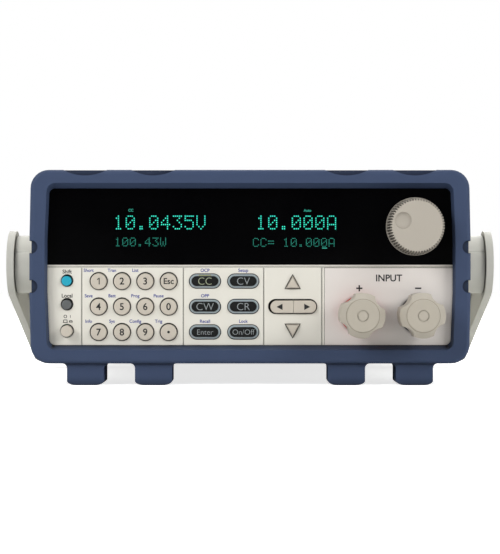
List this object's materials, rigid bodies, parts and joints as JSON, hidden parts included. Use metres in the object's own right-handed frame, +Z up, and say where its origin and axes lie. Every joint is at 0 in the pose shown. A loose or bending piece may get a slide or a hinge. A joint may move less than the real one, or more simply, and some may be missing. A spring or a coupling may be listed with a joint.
{
  "type": "dc electronic load",
  "caption": "Half-rack bench DC electronic load with rubber bumpers, display window, keypad, tuning dial, two binding posts and a folding carrying handle.",
  "frame": {"origin": "on the bench, under the middle of the object's outline", "axes": "+X to the right seen from the front, +Y from the front panel to the rear, +Z up"},
  "size_m": [0.2638, 0.4028, 0.1106],
  "materials": {
    "rubber_blue": "matte",
    "panel_beige": "fine texture",
    "plate_beige": "fine texture",
    "window_black": "gloss",
    "key_beige": "matte",
    "mode_black": "matte",
    "cyan": "matte",
    "dark_grey": "matte",
    "dial_grey": "matte",
    "nut_grey": "satin",
    "red": "satin",
    "black": "satin",
    "handle_grey": "fine texture",
    "case_paint": "satin",
    "bare_steel": "plated",
    "brass": "bright",
    "nickel": "plated",
    "copper": "bare",
    "aluminium": "extruded",
    "board": "lacquered",
    "silicone": "matte",
    "glass": "clear over metal",
    "iron": "varnished laminations",
    "connector": "plated"
  },
  "bodies": {
    "chassis": {"front_bumper": "rubber_blue", "rear_bumper": "rubber_blue", "case_cover": "case_paint", "base_pan": "bare_steel", "rear_panel": "case_paint", "front_panel": "panel_beige", "display_window": "window_black", "terminal_plate": "plate_beige", "positive_insulator": "red", "negative_insulator": "black", "post_studs": "brass", "bus_bars": "copper", "handle_bosses": "handle_grey", "encoder_body": "connector", "power_switch": "black", "keypad_mat": "silicone", "keypad_board": "board", "display_module": "glass", "control_board": "board", "power_board": "board", "heatsink": "aluminium", "mains_transformer": "iron", "fan_frame": "black", "fan_guard": "nickel", "mains_inlet": "black", "rear_connectors": "connector", "case_screws": "nickel"},
    "key_1_body": {"key_1": "key_beige"},
    "key_2_body": {"key_2": "key_beige"},
    "key_3_body": {"key_3": "key_beige"},
    "key_esc_body": {"key_esc": "key_beige"},
    "key_4_body": {"key_4": "key_beige"},
    "key_5_body": {"key_5": "key_beige"},
    "key_6_body": {"key_6": "key_beige"},
    "key_0_body": {"key_0": "key_beige"},
    "key_7_body": {"key_7": "key_beige"},
    "key_8_body": {"key_8": "key_beige"},
    "key_9_body": {"key_9": "key_beige"},
    "key_dot_body": {"key_dot": "key_beige"},
    "cc_key_body": {"cc_key": "mode_black"},
    "cv_key_body": {"cv_key": "mode_black"},
    "cw_key_body": {"cw_key": "mode_black"},
    "cr_key_body": {"cr_key": "mode_black"},
    "enter_key_body": {"enter_key": "mode_black"},
    "on_off_key_body": {"on_off_key": "mode_black"},
    "up_key_body": {"up_key": "key_beige"},
    "down_key_body": {"down_key": "key_beige"},
    "left_key_body": {"left_key": "key_beige"},
    "right_key_body": {"right_key": "key_beige"},
    "shift_button_body": {"shift_button": "cyan"},
    "local_button_body": {"local_button": "dark_grey"},
    "power_button_body": {"power_button": "key_beige"},
    "dial": {"dial_knob": "dial_grey", "encoder_shaft": "nickel"},
    "fan_wheel": {"fan_rotor": "black"},
    "positive_clamp": {"positive_washer": "nickel"},
    "positive_finger_nut": {"positive_nut": "nut_grey"},
    "negative_clamp": {"negative_washer": "nickel"},
    "negative_finger_nut": {"negative_nut": "nut_grey"},
    "bail": {"handle": "handle_grey"}
  },
  "joints": [
    {"name": "key_1_press", "type": "slide", "parent": "chassis", "child": "key_1_body", "axis": [0, 1, 0], "range_m": [0, 0.0012], "stiffness_N_per_m": 500},
    {"name": "key_2_press", "type": "slide", "parent": "chassis", "child": "key_2_body", "axis": [0, 1, 0], "range_m": [0, 0.0012], "stiffness_N_per_m": 500},
    {"name": "key_3_press", "type": "slide", "parent": "chassis", "child": "key_3_body", "axis": [0, 1, 0], "range_m": [0, 0.0012], "stiffness_N_per_m": 500},
    {"name": "key_esc_press", "type": "slide", "parent": "chassis", "child": "key_esc_body", "axis": [0, 1, 0], "range_m": [0, 0.0012], "stiffness_N_per_m": 500},
    {"name": "key_4_press", "type": "slide", "parent": "chassis", "child": "key_4_body", "axis": [0, 1, 0], "range_m": [0, 0.0012], "stiffness_N_per_m": 500},
    {"name": "key_5_press", "type": "slide", "parent": "chassis", "child": "key_5_body", "axis": [0, 1, 0], "range_m": [0, 0.0012], "stiffness_N_per_m": 500},
    {"name": "key_6_press", "type": "slide", "parent": "chassis", "child": "key_6_body", "axis": [0, 1, 0], "range_m": [0, 0.0012], "stiffness_N_per_m": 500},
    {"name": "key_0_press", "type": "slide", "parent": "chassis", "child": "key_0_body", "axis": [0, 1, 0], "range_m": [0, 0.0012], "stiffness_N_per_m": 500},
    {"name": "key_7_press", "type": "slide", "parent": "chassis", "child": "key_7_body", "axis": [0, 1, 0], "range_m": [0, 0.0012], "stiffness_N_per_m": 500},
    {"name": "key_8_press", "type": "slide", "parent": "chassis", "child": "key_8_body", "axis": [0, 1, 0], "range_m": [0, 0.0012], "stiffness_N_per_m": 500},
    {"name": "key_9_press", "type": "slide", "parent": "chassis", "child": "key_9_body", "axis": [0, 1, 0], "range_m": [0, 0.0012], "stiffness_N_per_m": 500},
    {"name": "key_dot_press", "type": "slide", "parent": "chassis", "child": "key_dot_body", "axis": [0, 1, 0], "range_m": [0, 0.0012], "stiffness_N_per_m": 500},
    {"name": "cc_key_press", "type": "slide", "parent": "chassis", "child": "cc_key_body", "axis": [0, 1, 0], "range_m": [0, 0.0012], "stiffness_N_per_m": 500},
    {"name": "cv_key_press", "type": "slide", "parent": "chassis", "child": "cv_key_body", "axis": [0, 1, 0], "range_m": [0, 0.0012], "stiffness_N_per_m": 500},
    {"name": "cw_key_press", "type": "slide", "parent": "chassis", "child": "cw_key_body", "axis": [0, 1, 0], "range_m": [0, 0.0012], "stiffness_N_per_m": 500},
    {"name": "cr_key_press", "type": "slide", "parent": "chassis", "child": "cr_key_body", "axis": [0, 1, 0], "range_m": [0, 0.0012], "stiffness_N_per_m": 500},
    {"name": "enter_key_press", "type": "slide", "parent": "chassis", "child": "enter_key_body", "axis": [0, 1, 0], "range_m": [0, 0.0012], "stiffness_N_per_m": 500},
    {"name": "on_off_key_press", "type": "slide", "parent": "chassis", "child": "on_off_key_body", "axis": [0, 1, 0], "range_m": [0, 0.0012], "stiffness_N_per_m": 500},
    {"name": "up_key_press", "type": "slide", "parent": "chassis", "child": "up_key_body", "axis": [0, 1, 0], "range_m": [0, 0.0012], "stiffness_N_per_m": 500},
    {"name": "down_key_press", "type": "slide", "parent": "chassis", "child": "down_key_body", "axis": [0, 1, 0], "range_m": [0, 0.0012], "stiffness_N_per_m": 500},
    {"name": "left_key_press", "type": "slide", "parent": "chassis", "child": "left_key_body", "axis": [0, 1, 0], "range_m": [0, 0.0012], "stiffness_N_per_m": 500},
    {"name": "right_key_press", "type": "slide", "parent": "chassis", "child": "right_key_body", "axis": [0, 1, 0], "range_m": [0, 0.0012], "stiffness_N_per_m": 500},
    {"name": "shift_button_press", "type": "slide", "parent": "chassis", "child": "shift_button_body", "axis": [0, 1, 0], "range_m": [0, 0.0012], "stiffness_N_per_m": 500},
    {"name": "local_button_press", "type": "slide", "parent": "chassis", "child": "local_button_body", "axis": [0, 1, 0], "range_m": [0, 0.0012], "stiffness_N_per_m": 500},
    {"name": "power_button_press", "type": "slide", "parent": "chassis", "child": "power_button_body", "axis": [0, 1, 0], "range_m": [0, 0.003], "stiffness_N_per_m": 400},
    {"name": "dial_turn", "type": "hinge", "parent": "chassis", "child": "dial", "pos_m": [0.08495, -0.1692, 0.0816], "axis": [0, -1, 0], "continuous": true},
    {"name": "fan_spin", "type": "hinge", "parent": "chassis", "child": "fan_wheel", "pos_m": [0.05375, 0.17, 0.0609], "axis": [0, 1, 0], "continuous": true},
    {"name": "positive_nut_travel", "type": "slide", "parent": "chassis", "child": "positive_clamp", "axis": [0, -1, 0], "range_m": [0, 0.005]},
    {"name": "positive_nut_turn", "type": "hinge", "parent": "positive_clamp", "child": "positive_finger_nut", "pos_m": [0.05635, -0.185, 0.0362], "axis": [0, -1, 0], "range_deg": [0, 1450]},
    {"name": "negative_nut_travel", "type": "slide", "parent": "chassis", "child": "negative_clamp", "axis": [0, -1, 0], "range_m": [0, 0.005]},
    {"name": "negative_nut_turn", "type": "hinge", "parent": "negative_clamp", "child": "negative_finger_nut", "pos_m": [0.08655, -0.185, 0.0362], "axis": [0, -1, 0], "range_deg": [0, 1450]},
    {"name": "handle_swing", "type": "hinge", "parent": "chassis", "child": "bail", "pos_m": [0, -0.1004, 0.0625], "axis": [-1, 0, 0], "range_deg": [0, 312]}
  ],
  "couplings": [
    {"joint": "positive_nut_turn", "follows": "positive_nut_travel", "rad_per_m": 5026.5},
    {"joint": "negative_nut_turn", "follows": "negative_nut_travel", "rad_per_m": 5026.5}
  ]
}
